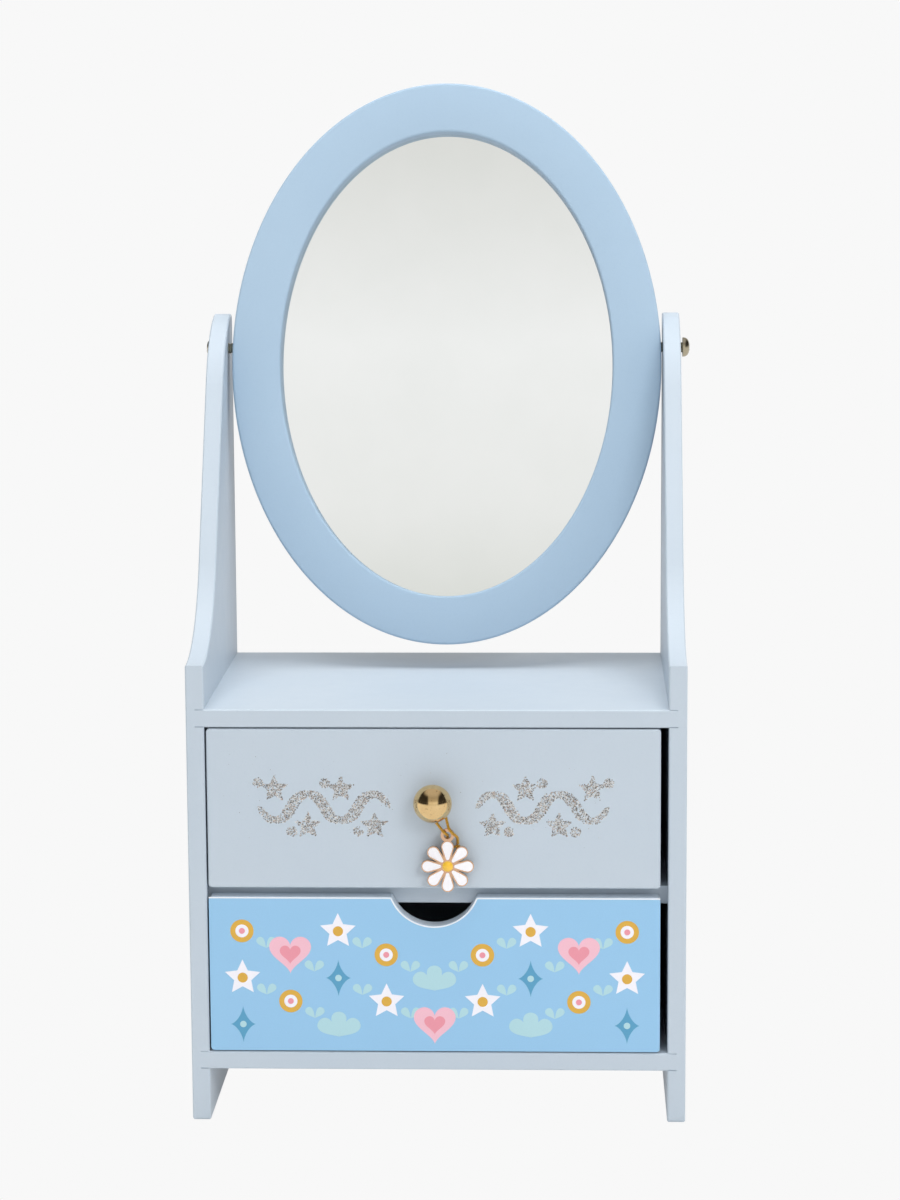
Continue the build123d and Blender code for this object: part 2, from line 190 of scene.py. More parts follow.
def product(tree, first, second):
    """Multiplies two values."""
    node = tree.nodes.new("ShaderNodeMath")
    node.operation = "MULTIPLY"
    tree.links.new(first, node.inputs[0])
    tree.links.new(second, node.inputs[1])
    return node.outputs["Value"]


def bump(tree, shader, height, strength, distance):
    """Raises a surface by a height pattern, on top of any bump it already has."""
    node = tree.nodes.new("ShaderNodeBump")
    node.inputs["Strength"].default_value = strength
    node.inputs["Distance"].default_value = distance
    tree.links.new(height, node.inputs["Height"])
    if shader.inputs["Normal"].links:
        tree.links.new(shader.inputs["Normal"].links[0].from_socket, node.inputs["Normal"])
    tree.links.new(node.outputs["Normal"], shader.inputs["Normal"])


def paint_material(name, color, deeper, grain_strength):
    """Satin paint on fibreboard: a faint orange peel, slow changes of tone and sanding marks."""
    material, tree, shader, place = new_material(name, color, 0.48)
    tone = noise(tree, place, 30 * MM, detail=4.0)
    tone_color = mixed(tree, span(tree, tone, 0.0, 0.9), color, deeper)
    fleck = noise(tree, place, 0.7 * MM, detail=2.0)
    fleck_color = ramp(tree, fleck, [(0.30, deeper), (0.46, color)])
    final = mixed(tree, 0.25, tone_color, fleck_color)
    tree.links.new(final, shader.inputs["Base Color"])
    gloss = noise(tree, place, 6 * MM)
    tree.links.new(span(tree, gloss, 0.40, 0.58), shader.inputs["Roughness"])
    sanding = noise(tree, stretched(tree, place, (0.12, 0.12, 1.0)), 0.8 * MM, detail=3.0)
    bump(tree, shader, sanding, grain_strength, 0.05 * MM)
    peel = noise(tree, place, 0.55 * MM, detail=2.0)
    bump(tree, shader, peel, 0.25, 0.08 * MM)
    return material


def hardboard_material():
    """Brown hardboard with short fibres."""
    material, tree, shader, place = new_material("hardboard", srgb(150, 116, 82), 0.72)
    fibre = noise(tree, stretched(tree, place, (1.0, 1.0, 0.35)), 0.9 * MM, detail=5.0)
    color = ramp(
        tree,
        fibre,
        [(0.30, srgb(112, 82, 54)), (0.55, srgb(150, 116, 82)), (0.75, srgb(176, 143, 106))],
    )
    tree.links.new(color, shader.inputs["Base Color"])
    bump(tree, shader, fibre, 0.5, 0.08 * MM)
    return material


def print_material(name, color):
    """Printed paper under a thin clear film, with the faint tooth of its stock."""
    material, tree, shader, place = new_material(name, color, 0.38)
    tooth = noise(tree, place, 0.5 * MM, detail=4.0)
    dimmer = tuple(channel * 0.93 for channel in color[:3]) + (1.0,)
    tree.links.new(mixed(tree, tooth, color, dimmer), shader.inputs["Base Color"])
    shader.inputs["Coat Weight"].default_value = 0.2
    shader.inputs["Coat Roughness"].default_value = 0.3
    bump(tree, shader, tooth, 0.12, 0.03 * MM)
    return material


def metal_material(name, color, roughness, scratch_size, scratch_strength):
    """Polished metal with fine specks and a little change in its gloss."""
    material, tree, shader, place = new_material(name, color, roughness, metallic=1.0)
    cloud = noise(tree, place, 3 * MM, detail=4.0)
    darker = tuple(channel * 0.86 for channel in color[:3]) + (1.0,)
    tree.links.new(mixed(tree, cloud, color, darker), shader.inputs["Base Color"])
    tree.links.new(span(tree, cloud, roughness * 0.7, roughness * 1.6), shader.inputs["Roughness"])
    scratch = noise(tree, place, scratch_size, detail=2.0)
    bump(tree, shader, scratch, scratch_strength, 0.02 * MM)
    return material


def brass_material():
    """Thin lacquered brass: warm gold with a few dark pits."""
    material, tree, shader, place = new_material("brass", srgb(232, 198, 138), 0.16, metallic=1.0)
    cloud = noise(tree, place, 4 * MM, detail=3.0)
    gold = mixed(tree, cloud, srgb(238, 208, 156), srgb(218, 182, 126))
    pits = noise(tree, place, 0.55 * MM, detail=1.0)
    pitted = ramp(tree, pits, [(0.24, srgb(120, 84, 44)), (0.30, srgb(255, 255, 255))])
    tinted = mixed(tree, 1.0, gold, pitted, blend="MULTIPLY")
    tree.links.new(tinted, shader.inputs["Base Color"])
    tree.links.new(span(tree, cloud, 0.10, 0.19), shader.inputs["Roughness"])
    bump(tree, shader, noise(tree, place, 0.35 * MM), 0.25, 0.02 * MM)
    return material


def mirror_material():
    """Silvered glass, a little soft where dust lies on it."""
    material, tree, shader, place = new_material("mirror_glass", srgb(240, 241, 240), 0.02, 1.0)
    dust = noise(tree, place, 20 * MM, detail=3.0)
    tree.links.new(span(tree, dust, 0.01, 0.04), shader.inputs["Roughness"])
    silver = mixed(tree, dust, srgb(242, 243, 242), srgb(236, 238, 236))
    tree.links.new(silver, shader.inputs["Base Color"])
    return material


def enamel_material(name, color, deeper):
    """Glossy fired enamel, with a soft change of tone."""
    material, tree, shader, place = new_material(name, color, 0.16)
    tone = noise(tree, place, 2.5 * MM)
    tree.links.new(mixed(tree, tone, color, deeper), shader.inputs["Base Color"])
    shader.inputs["Coat Weight"].default_value = 0.5
    shader.inputs["Coat Roughness"].default_value = 0.06
    bump(tree, shader, noise(tree, place, 1.2 * MM), 0.15, 0.03 * MM)
    return material


def thread_material():
    """Metallic gold yarn: bright and dark fibres along each strand."""
    material, tree, shader, place = new_material("gold_thread", srgb(206, 164, 84), 0.34, 0.8)
    fibre = noise(tree, place, 0.18 * MM, detail=2.0)
    color = ramp(
        tree,
        fibre,
        [(0.32, srgb(150, 96, 20)), (0.5, srgb(214, 160, 50)), (0.68, srgb(250, 214, 120))],
    )
    tree.links.new(color, shader.inputs["Base Color"])
    bump(tree, shader, fibre, 0.5, 0.05 * MM)
    return material


def glitter_material(name, color):
    """One tone of metallic glitter, with its own faint unevenness."""
    material, tree, shader, place = new_material(name, color, 0.24, metallic=0.9)
    cloud = noise(tree, place, 0.6 * MM)
    darker = tuple(channel * 0.75 for channel in color[:3]) + (1.0,)
    tree.links.new(mixed(tree, cloud, color, darker), shader.inputs["Base Color"])
    return material


paint = paint_material("paint", srgb(194, 205, 215), srgb(186, 199, 211), 0.16)
# A lighter copy of the cabinet paint: a painted highlight that brightens the lower drawer front's
# top edge and notch, which lie in the upper front's shade.
edge_highlight_paint = paint_material("edge_highlight_paint", srgb(214, 224, 234), srgb(204, 216, 227), 0.05)
frame_paint = paint_material("frame_paint", srgb(171, 195, 215), srgb(163, 188, 210), 0.05)
hardboard = hardboard_material()
brass = brass_material()
nickel = metal_material("nickel", srgb(186, 176, 152), 0.22, 0.5 * MM, 0.2)
pink_gold = metal_material("pink_gold", srgb(226, 184, 150), 0.18, 0.3 * MM, 0.2)
mirror_glass = mirror_material()
white_enamel = enamel_material("white_enamel", srgb(252, 250, 252), srgb(244, 241, 246))
yellow_enamel = enamel_material("yellow_enamel", srgb(252, 206, 70), srgb(246, 188, 44))
gold_thread = thread_material()
print_colors = {
    "blue": srgb(150, 198, 233),
    "pink": srgb(244, 190, 205),
    "rose": srgb(236, 150, 165),
    "white": srgb(245, 243, 250),
    "mustard": srgb(222, 172, 60),
    "mint": srgb(178, 217, 225),
    "teal": srgb(84, 158, 196),
}
printed = {name: print_material(f"printed_{name}", color) for name, color in print_colors.items()}
glitter = [
    glitter_material("glitter_bright", srgb(246, 246, 244)),
    glitter_material("glitter_mid", srgb(206, 204, 202)),
    glitter_material("glitter_dark", srgb(150, 146, 144)),
    glitter_material("glitter_warm", srgb(220, 200, 188)),
]


def give(material, *names):
    """Puts a material on every slot of the named CAD nodes."""
    for name in names:
        for slot in nodes[name].material_slots:
            slot.material = material


give(paint, "side_panel_left", "side_panel_right", "bottom_board", "divider_shelf", "top_board")
give(paint, "back_panel")
for drawer in ("upper_drawer", "lower_drawer"):
    for part in ("front", "side_left", "side_right", "back", "bottom"):
        give(paint, f"{drawer}_{part}")
# The lower drawer front takes the lighter copy of the paint, a painted highlight on its top edge
# and notch.
give(edge_highlight_paint, "lower_drawer_front")
give(printed["blue"], "lower_drawer_print")
give(frame_paint, "mirror_frame")
give(mirror_glass, "mirror_glass")
give(hardboard, "mirror_backing")
give(nickel, "pivot_screw_left", "pivot_screw_right", "knob_screw")
give(brass, "drawer_knob")
give(pink_gold, "charm_plate")
give(white_enamel, "charm_petals")
give(yellow_enamel, "charm_centre")
give(gold_thread, "charm_cord", "cord_knot")


# Mirror frame
# A ring of one routed section. It lies in the plane that leans back by the mirror's tilt.
mirror_tilt = radians(9.0)
mirror_height = 197.0 * MM
mirror_band = 17.0 * MM
mirror_thickness = 9.0 * MM
oval_below_pivot = 6.0 * MM
frame_edge_round = 0.9 * MM
frame_back_ease = 0.4 * MM
glass_thickness = 2.0 * MM
glass_lap = 3.0 * MM
oval_steps = 208


def quarter_turn(steps):
    """Gives evenly spaced angles from 0 to a quarter of a turn."""
    return [pi / 2 * step / steps for step in range(steps + 1)]


def frame_section():
    """Gives the frame's section as pairs of inset from the outline and depth from the front."""
    r = frame_edge_round
    seat = mirror_thickness - glass_thickness
    outer = [(r - r * cos(a), r - r * sin(a)) for a in quarter_turn(5)]
    inner = [(mirror_band - r + r * sin(a), r - r * cos(a)) for a in quarter_turn(5)]
    rear = [
        (mirror_band, seat),
        (mirror_band - glass_lap, seat),
        (mirror_band - glass_lap, mirror_thickness),
        (frame_back_ease, mirror_thickness),
        (0, mirror_thickness - frame_back_ease),
    ]
    return outer + inner + rear


def add_mirror_frame():
    """Sweeps the frame's section round the oval."""
    section = frame_section()
    normal = Vector((0, -cos(mirror_tilt), sin(mirror_tilt)))
    rise = Vector((0, sin(mirror_tilt), cos(mirror_tilt)))
    half_width = (oval_high.x - oval_low.x) / 2
    middle = Vector(((oval_low.x + oval_high.x) / 2, pivot_y, pivot_z)) - oval_below_pivot * rise
    points = []
    for step in range(oval_steps):
        angle = tau * step / oval_steps
        for inset, depth in section:
            across = (half_width - inset) * cos(angle)
            along = (mirror_height / 2 - inset) * sin(angle)
            forward = mirror_thickness / 2 - depth
            points.append(middle + across * RIGHT + along * rise + forward * normal)
    faces = skin(oval_steps, len(section), closes=True)
    mesh = make_mesh("mirror_frame_ring", points, faces, [frame_paint])
    ring = link("mirror_frame_ring", mesh, "mirror")
    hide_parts("mirror_frame")


# Pivot screws
screw_head_height = 2.5 * MM
screw_shank_radius = 1.93 * MM
screw_sides = 24
screw_tip_length = 3 * MM
screw_tip_taper = 0.35
groove_depth = 0.3 * MM
groove_pitch = 1.2 * MM
rings_per_pitch = 8
recess_length = 3.4 * MM
recess_width = 0.8 * MM
recess_depth = 1.1 * MM
recess_turn = {"pivot_screw_left": radians(18), "pivot_screw_right": radians(37)}
# Pan head: pairs of height over its underside and radius
head_section = [
    (0.0, 3.30),
    (0.12, 3.40),
    (0.7, 3.40),
    (1.25, 3.22),
    (1.75, 2.85),
    (2.15, 2.25),
    (2.4, 1.45),
    (2.5, 0.6),
]


def add_pivot_screw(node, side):
    """Makes a pan-head screw: a threaded shank, a domed head and the cross recess in it."""
    low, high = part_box(node)
    outside = max(abs(low.x), abs(high.x))
    underside = outside - screw_head_height
    tip = min(abs(low.x), abs(high.x))
    rings = int((underside - tip) / (groove_pitch / rings_per_pitch))
    points = []
    for ring in range(rings + 1):
        reach = tip + (underside - tip) * ring / rings
        taper = min(1.0, screw_tip_taper + (reach - tip) / screw_tip_length)
        for step in range(screw_sides):
            turn = step / screw_sides
            groove = abs(2 * ((reach / groove_pitch - turn) % 1) - 1)
            radius = (screw_shank_radius - groove_depth * groove) * taper
            points.append((side * reach, radius * cos(tau * turn), radius * sin(tau * turn)))
    for height, head_radius in head_section:
        reach = underside + height * MM
        radius = head_radius * MM
        for step in range(screw_sides):
            angle = tau * step / screw_sides
            points.append((side * reach, radius * cos(angle), radius * sin(angle)))
    centre = Vector((0, (low.y + high.y) / 2, (low.z + high.z) / 2))
    points = [Vector(point) + centre for point in points]
    faces = skin(rings + 1 + len(head_section), screw_sides, closes=False)
    mesh = make_mesh(f"{node}_turned", points, faces, [nickel], radians(35))
    screw = link(f"{node}_turned", mesh, "mirror")
    cutter = recess_cutter(centre + side * outside * RIGHT, recess_turn[node])
    cut = screw.modifiers.new("recess", "BOOLEAN")
    cut.operation = "DIFFERENCE"
    cut.solver = "EXACT"
    cut.object = cutter
    bpy.context.view_layer.update()
    finished = bpy.data.meshes.new_from_object(
        screw.evaluated_get(bpy.context.evaluated_depsgraph_get())
    )
    screw.modifiers.remove(cut)
    screw.data = finished
    finished.name = f"{node}_turned"
    bpy.data.objects.remove(cutter)
    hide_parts(node)


def recess_cutter(middle, turn):
    """Makes a cross-shaped block, which is cut from a screw head and then taken away."""
    long = recess_length / 2
    short = recess_width / 2
    arm = [(long, -short), (long, short), (short, short)]
    outline = []
    for quarter in range(4):
        angle = turn + quarter * pi / 2
        for y, z in arm:
            outline.append((y * cos(angle) - z * sin(angle), y * sin(angle) + z * cos(angle)))
    points = [
        middle + Vector((x, y, z)) for x in (-recess_depth, recess_depth) for y, z in outline
    ]
    mesh = make_mesh("recess_cutter", points, skin(2, len(outline), closes=False), [])
    cutter = bpy.data.objects.new("recess_cutter", mesh)
    bpy.context.scene.collection.objects.link(cutter)
    return cutter


# Charm thread
# The route's points are measured from the knob's axis: right, out from the drawer's face, up.
thread_route = [
    (7.05, 1.5, -15.5),
    (5.0, 1.5, -15.5),
    (4.6, 1.6, -13.4),
    (4.75, 1.75, -11.3),
    (4.65, 4.6, -11.0),
    (2.4, 4.45, -8.5),
    (-3.867, 3.2, -0.122),
    (-1.537, 3.2, 3.551),
    (2.736, 3.2, 2.736),
    (4.55, 3.5, -6.6),
    (5.55, 4.7, -9.6),
    (7.8, 4.2, -11.3),
    (8.05, 1.5, -12.9),
    (8.05, 1.5, -14.5),
]
thread_step = 0.16 * MM
strand_radius = 0.26 * MM
strand_offset = 0.25 * MM
strand_pitch = 2.2 * MM
strand_count = 3
strand_sides = 6
knot_place = (8.05, 1.5, -15.5)
knot_tail = 3.0 * MM
knot_size = 0.2 * MM
knot_steps = 72
knot_thread_radius = 0.36 * MM
knot_thread_sides = 8
fibre_count = 10
fibre_sides = 5


def from_knob(right, out, up):
    """Gives the place of a point measured in millimetres from the knob's axis on the drawer."""
    axis = Vector((drawer_x, drawer_face_y, knob_z))
    return axis + right * MM * RIGHT + out * MM * OUT + up * MM * UP


def spline_line(name, places):
    """Reads the smooth line of a NURBS spline through its control points."""
    data = bpy.data.curves.new(name, "CURVE")
    data.dimensions = "3D"
    data.resolution_u = 24
    spline = data.splines.new("NURBS")
    spline.points.add(len(places) - 1)
    for point, place in zip(spline.points, places):
        point.co = (*place, 1)
    spline.order_u = 3
    spline.use_endpoint_u = True
    holder = bpy.data.objects.new(name, data)
    mesh = bpy.data.meshes.new_from_object(holder)
    line = [vertex.co.copy() for vertex in mesh.vertices]
    bpy.data.meshes.remove(mesh)
    bpy.data.objects.remove(holder)
    bpy.data.curves.remove(data)
    return line


def evenly_spaced(line, step):
    """Gives points a fixed step apart along a line, from its start to its end."""
    spaced = [line[0]]
    left = step
    for start, end in zip(line, line[1:]):
        run = (end - start).length
        done = 0.0
        while run - done >= left:
            done += left
            spaced.append(start.lerp(end, done / run))
            left = step
        left -= run - done
    if (spaced[-1] - line[-1]).length > step / 4:
        spaced.append(line[-1])
    return spaced


def directions_along(line):
    """Gives each point's direction and two cross directions that don't twist along the line."""
    frames = []
    across = None
    for index in range(len(line)):
        before = line[max(index - 1, 0)]
        after = line[min(index + 1, len(line) - 1)]
        ahead = (after - before).normalized()
        if across is None:
            across = ahead.orthogonal()
        across = (across - across.dot(ahead) * ahead).normalized()
        frames.append((ahead, across, ahead.cross(across)))
    return frames


def add_tube(points, faces, line, radii, sides):
    """Adds a capped tube along a line, with a radius at each of its points, to a mesh's lists."""
    first = len(points)
    for place, radius, (_, across, other) in zip(line, radii, directions_along(line)):
        for side in range(sides):
            angle = tau * side / sides
            points.append(place + radius * (cos(angle) * across + sin(angle) * other))
    faces.extend(skin(len(line), sides, closes=False, first=first))


def add_thread():
    """Twists the thread's strands along its route and returns the thread with its line."""
    route = [from_knob(*point) for point in thread_route]
    line = evenly_spaced(spline_line("thread_route", route), thread_step)
    points = []
    faces = []
    for strand in range(strand_count):
        center_line = []
        for index, (place, (_, across, other)) in enumerate(zip(line, directions_along(line))):
            angle = tau * (index * thread_step / strand_pitch + strand / strand_count)
            center_line.append(place + strand_offset * (cos(angle) * across + sin(angle) * other))
        radii = [strand_radius] * len(center_line)
        add_tube(points, faces, center_line, radii, strand_sides)
    mesh = make_mesh("charm_thread", points, faces, [gold_thread], radians(70))
    thread = link("charm_thread", mesh, "charm")
    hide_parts("charm_cord")
    return thread, line


def add_knot():
    """Ties the knot as a trefoil of thread, with a cut end that frays into fibres."""
    middle = from_knob(*knot_place)
    points = []
    faces = []
    loop = []
    for step in range(knot_steps):
        t = tau * step / knot_steps
        right = knot_size * (sin(t) + 2 * sin(2 * t))
        up = knot_size * (cos(t) - 2 * cos(2 * t))
        out = knot_size * -1.3 * sin(3 * t)
        loop.append(middle + right * RIGHT + out * OUT + up * UP)
    loop.append(loop[0])
    add_tube(points, faces, loop, [knot_thread_radius] * len(loop), knot_thread_sides)
    chance = Random(5)
    for fibre in range(fibre_count):
        lean = (fibre - (fibre_count - 1) / 2) / (fibre_count - 1)
        drift = chance.uniform(-0.15, 0.15) * MM
        bend = [
            middle - 0.5 * MM * UP + 0.1 * lean * MM * RIGHT,
            middle - 1.5 * MM * UP + 0.45 * lean * MM * RIGHT + drift * OUT,
            middle - chance.uniform(0.86, 1.0) * knot_tail * UP + (0.8 * lean * MM + drift) * RIGHT,
        ]
        line = evenly_spaced(spline_line("fibre_route", bend), 0.25 * MM)
        radii = [(0.15 - 0.05 * index / len(line)) * MM for index in range(len(line))]
        add_tube(points, faces, line, radii, fibre_sides)
    mesh = make_mesh("charm_knot", points, faces, [gold_thread], radians(70))
    knot = link("charm_knot", mesh, "charm")
    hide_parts("cord_knot")
    return knot


# Flat figures
def star_reach(angle, outer, inner):
    """Gives how far a five-pointed star reaches in the direction of an angle."""
    half_point = pi / 5
    from_tip = angle % (2 * half_point)
    from_tip = min(from_tip, 2 * half_point - from_tip)
    rest = inner * sin(half_point - from_tip) + outer * sin(from_tip)
    return outer * inner * sin(half_point) / rest


def star(outer, inner):
    """Draws a five-pointed star with one point up."""
    corners = [pi / 2 + pi / 5 * corner for corner in range(10)]
    reaches = [outer, inner] * 5
    return [(reach * cos(a), reach * sin(a)) for a, reach in zip(corners, reaches)]


def disc(radius):
    """Draws a round dot."""
    return [(radius * cos(tau * step / 32), radius * sin(tau * step / 32)) for step in range(32)]


def heart(width):
    """Draws a heart of the given width."""
    outline = []
    for step in range(48):
        t = tau * step / 48
        x = 16 * sin(t) ** 3
        z = 13 * cos(t) - 5 * cos(2 * t) - 2 * cos(3 * t) - cos(4 * t)
        outline.append((x * width / 32, (z + 2) * width / 32))
    return outline


def sparkle(half_width, half_height):
    """Draws a four-pointed sparkle with hollow sides."""
    angles = [tau * step / 40 for step in range(40)]
    return [(half_width * cos(a) ** 3, half_height * sin(a) ** 3) for a in angles]


def drop(length, lean, x, z):
    """Draws a drop that points away from its place by the angle of its lean from upright."""
    outline = []
    for step in range(32):
        t = tau * step / 32
        across = 0.42 * length * sin(t) * sin(t / 2) ** 1.5
        along = length / 2 * (1 - cos(t))
        outline.append(
            (x + along * sin(lean) + across * cos(lean), z + along * cos(lean) - across * sin(lean))
        )
    return outline


# Print on the lower drawer
# Small figures in a half-drop layout, the same on both sides of the middle. Sizes are in
# millimetres but for the film.
column_spacing = 16.0
row_spacing = 16.0
row_count = 3
outer_column = 4
first_row = 9.0
figure_top_margin = 7.0
leaf_top_margin = 8.0
notch_margin = 6.5
film = 0.03 * MM
notch_radius = 15.0
notch_depth = 9.8
notch_lip_round = 0.8
# Inset and width of the near-white strip, a painted highlight along the print's top edge and notch
highlight_strip_inset = 0.02
highlight_strip_width = 0.5
lip_steps = 6
notch_steps = 48
# Each figure is a list of layers: its colour, how many films up it lies, and its outline
figures = [
    [("pink", 1, heart(14.0)), ("rose", 2, heart(7.0))],
    [("white", 1, star(6.2, 3.0)), ("mustard", 2, disc(1.7))],
    [
        ("mint", level, drop(8.6, radians(lean), 0, -4.2))
        for level, lean in ((1, -50), (1.5, 50), (2, 0))
    ],
    [("mustard", 1, disc(3.9)), ("white", 2, disc(2.2)), ("rose", 3, disc(1.0))],
    [("teal", 1, sparkle(4.2, 6.4)), ("mint", 2, disc(1.1))],
]
leaves = [
    ("mint", level, drop(4.4, radians(lean), 0, -1.8)) for level, lean in ((0.4, -38), (0.7, 38))
]


def figure_places():
    """Gives each figure's number and its place on the print, clear of its edges and the notch."""
    notch_z = print_height - notch_depth + notch_radius
    for column in range(-outer_column, outer_column + 1):
        drop_by = row_spacing / 2 if column % 2 else 0.0
        for row in range(row_count):
            x = column * column_spacing
            z = first_row + row * row_spacing + drop_by
            clear_of_notch = hypot(x, z - notch_z) > notch_radius + notch_margin
            if clear_of_notch and z < print_height - figure_top_margin:
                yield (abs(column) + 2 * row) % len(figures), x, z


def leaf_places():
    """Gives the places of the pairs of leaves between the figures."""
    for column in range(-outer_column, outer_column):
        upper = column % 2 == 0 if column < 0 else column % 2
        for row in range(row_count):
            z = first_row + (row + (0.75 if upper else 0.25)) * row_spacing
            if z < print_height - leaf_top_margin:
                yield (column + 0.5) * column_spacing, z


def notched_edge(inset):
    """Gives points on the paper's top edge and round its finger notch, moved in by an inset."""
    rise = notch_radius - notch_depth
    reach = notch_radius + notch_lip_round
    lip_x = sqrt(reach**2 - (rise + notch_lip_round) ** 2)
    lip_z = print_height - notch_lip_round
    lip_radius = notch_lip_round - inset
    turn = asin((rise + notch_lip_round) / reach)
    left = [(-print_half_width, print_height - inset)]
    for step in range(lip_steps + 1):
        angle = pi / 2 + (turn - pi / 2) * step / lip_steps
        left.append((-lip_x + lip_radius * cos(angle), lip_z + lip_radius * sin(angle)))
    round_notch = []
    for step in range(1, notch_steps):
        angle = pi + turn + (pi - 2 * turn) * step / notch_steps
        radius = notch_radius + inset
        round_notch.append((radius * cos(angle), print_height + rise + radius * sin(angle)))
    return left + round_notch + [(-x, z) for x, z in reversed(left)]


def add_edge_highlight_strip():
    """Lays a near-white strip on the print's face along its top and round the notch, as a painted
    highlight for the drawer front's lit top edge.
    """
    outer = notched_edge(highlight_strip_inset)
    inner = notched_edge(highlight_strip_width)
    points = []
    for (x_out, z_out), (x_in, z_in) in zip(outer, inner):
        for y in (print_face_y - film, print_face_y + film / 3):
            points.append((drawer_x + x_out * MM, y, print_low.z + z_out * MM))
            points.append((drawer_x + x_in * MM, y, print_low.z + z_in * MM))
    faces = [(0, 2, 3, 1)]
    for number in range(len(outer) - 1):
        near = 4 * number
        far = near + 4
        for first, second in ((0, 1), (1, 3), (3, 2), (2, 0)):
            faces.append((near + first, near + second, far + second, far + first))
    last = 4 * (len(outer) - 1)
    faces.append((last, last + 1, last + 3, last + 2))
    # Near-white material of the strip: a painted highlight for the lit top edge and notch rim.
    strip_highlight_material = print_material("print_edge_painted_highlight", srgb(238, 241, 245))
    mesh = make_mesh("print_edge_highlight_strip", points, faces, [strip_highlight_material])
    piece = link("print_edge_highlight_strip", mesh, "lower_drawer")


def add_print():
    """Lays the printed figures on the lower drawer, one piece for each colour."""
    meshes = {name: ([], []) for name in print_colors if name != "blue"}

    def lay(color, level, outline, x, z):
        """Adds one outline as a closed film on the print's face."""
        points, faces = meshes[color]
        first = len(points)
        for y in (print_face_y - level * film, print_face_y + film / 3):
            for dx, dz in outline:
                points.append((drawer_x + (x + dx) * MM, y, print_low.z + (z + dz) * MM))
        faces.extend(skin(2, len(outline), closes=False, first=first))

    for number, x, z in figure_places():
        for color, level, outline in figures[number]:
            lay(color, level, outline, x, z)
    for x, z in leaf_places():
        for color, level, outline in leaves:
            lay(color, level, outline, x, z)
    for color, (points, faces) in meshes.items():
        mesh = make_mesh(f"print_{color}", points, faces, [printed[color]], radians(30))
        piece = link(f"print_{color}", mesh, "lower_drawer")


# Glitter on the upper drawer
# A wavy band on each side of the knob, with stars and dots in its bends. Millimetres from the
# knob's axis.
wave_start = 14.0
wave_end = 58.0
wave_length = 22.0
wave_height = 4.4
wave_middle = -2.6
wave_half_width = 2.1
wave_end_taper = 5.0
star_size = 4.7
star_inner_share = 0.48
star_from_wave = 6.2
dot_size = 1.7
dot_from_star = (5.4, 2.0)
flake_count = 6800
flake_faces = 5
stray_count = 70
tone_weights = (34, 40, 20, 6)


def wave_level(x):
    """Gives the band's middle height at a distance from the knob."""
    return wave_middle + wave_height * sin(tau * (x - wave_start) / wave_length)


def star_places():
    """Gives the places of the stars, which sit in the bends of the band."""
    for bend in range(4):
        x = wave_start + wave_length * (0.25 + bend / 2)
        away = -1 if bend % 2 == 0 else 1
        yield x, wave_middle + away * star_from_wave


def dot_places():
    """Gives the places of the dots, one beside each star."""
    for x, z in star_places():
        away = 1 if z > wave_middle else -1
        yield x + dot_from_star[0], z + away * dot_from_star[1]


def glittered(x, z):
    """Says whether a point belongs to the ornament."""
    x = abs(x)
    if wave_start < x < wave_end:
        lean = cos(tau * (x - wave_start) / wave_length)
        slope = wave_height * tau / wave_length * lean
        from_middle = abs(z - wave_level(x)) / sqrt(1 + slope**2)
        ends = min(1.0, (x - wave_start) / wave_end_taper, (wave_end - x) / wave_end_taper)
        swell = 0.55 + 0.45 * lean**2
        if from_middle < wave_half_width * swell * sqrt(ends):
            return True
    for star_x, star_z in star_places():
        across = Vector((x - star_x, z - star_z))
        if across.length < star_size:
            angle = Vector((0, 1)).angle_signed(across, 0.0)
            if across.length < star_reach(angle, star_size, star_size * star_inner_share):
                return True
    return any(hypot(x - dot_x, z - dot_z) < dot_size for dot_x, dot_z in dot_places())


def add_flake(chance, points, faces, x, z, radius):
    """Adds one glitter flake: a low four-sided point, skewed so that its facets catch light."""
    first = len(points)
    turn = chance.uniform(0, tau)
    place = from_knob(x, -0.01, z)
    for corner in range(4):
        angle = turn + tau * corner / 4
        points.append(place + radius * MM * (cos(angle) * RIGHT + sin(angle) * UP))
    lean = chance.uniform(0, tau)
    skew = 0.7 * radius
    height = chance.uniform(0.05, 0.16)
    points.append(from_knob(x + skew * cos(lean), height, z + skew * sin(lean)))
    for corner in range(4):
        faces.append((first + corner, first + (corner + 1) % 4, first + 4))
    faces.append((first + 3, first + 2, first + 1, first))


def add_glitter():
    """Scatters glitter flakes over the ornament, and a few strays round it."""
    chance = Random(11)
    points = []
    faces = []
    placed = 0
    while placed < flake_count:
        x = chance.uniform(-wave_end - 6, wave_end + 6)
        z = chance.uniform(-14, 9)
        if glittered(x, z):
            add_flake(chance, points, faces, x, z, chance.uniform(0.2, 0.36))
            placed += 1
    for _ in range(stray_count):
        x = chance.uniform(-70, 62)
        z = chance.uniform(-16, 16)
        if hypot(x, z) > 9:
            add_flake(chance, points, faces, x, z, chance.uniform(0.08, 0.16))
    mesh = make_mesh("glitter_ornament", points, faces, glitter, radians(1))
    for flake in range(len(faces) // flake_faces):
        tone = chance.choices(range(len(glitter)), tone_weights)[0]
        for face in range(flake_faces):
            mesh.polygons[flake * flake_faces + face].material_index = tone
    ornament = link("glitter_ornament", mesh, "upper_drawer")


# Studio
# The camera was fitted to the photograph's straight edges. Its place is in the part's frame.
photo_width = 900
focal_length_px = 3265.08
camera_place = Vector((45.24, -1104.4, 342.23)) * MM
camera_yaw = 0.0383
camera_pitch = 0.1557
camera_roll = -0.0059
studio_light = (0.49, 0.49, 0.49, 1.0)
backdrop = srgb(248, 248, 248)
lights_aim = Vector((0, 0, 0.15))


